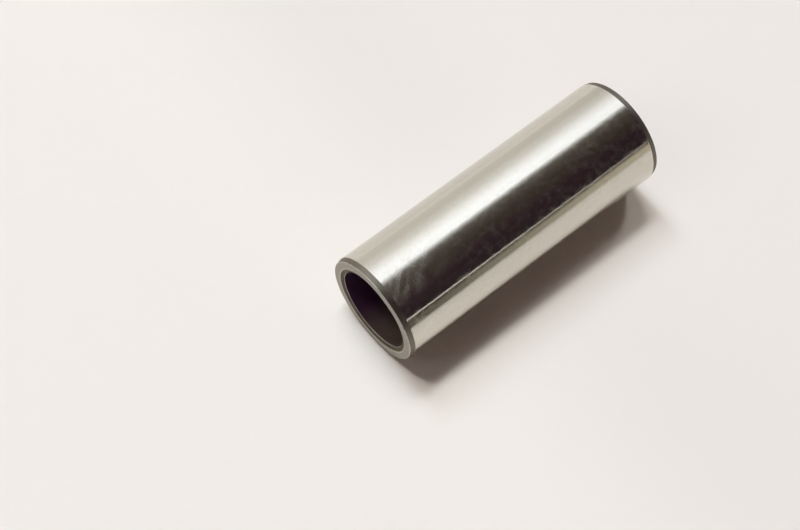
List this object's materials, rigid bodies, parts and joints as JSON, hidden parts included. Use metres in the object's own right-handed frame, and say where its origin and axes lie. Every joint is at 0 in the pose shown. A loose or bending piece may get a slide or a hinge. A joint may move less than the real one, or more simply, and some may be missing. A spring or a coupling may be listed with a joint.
{
  "type": "piston pin",
  "caption": "Hollow ground steel pin with a straight through bore, shallow countersunk mouths, slim lead-in chamfers and flat end faces, which joins a piston to the small end of its connecting rod.",
  "frame": {"origin": "middle of the lower end face, on the pin's axis", "axes": "+Z along the pin's axis from the lower end face to the upper one; X and Y are alike, as the pin is round"},
  "size_m": [0.02, 0.02, 0.056],
  "materials": {
    "ground_steel": "ground and polished outside, satin turned end faces and lead-ins, dark bore"
  },
  "bodies": {
    "root": {"piston_pin": "ground_steel"}
  },
  "joints": []
}
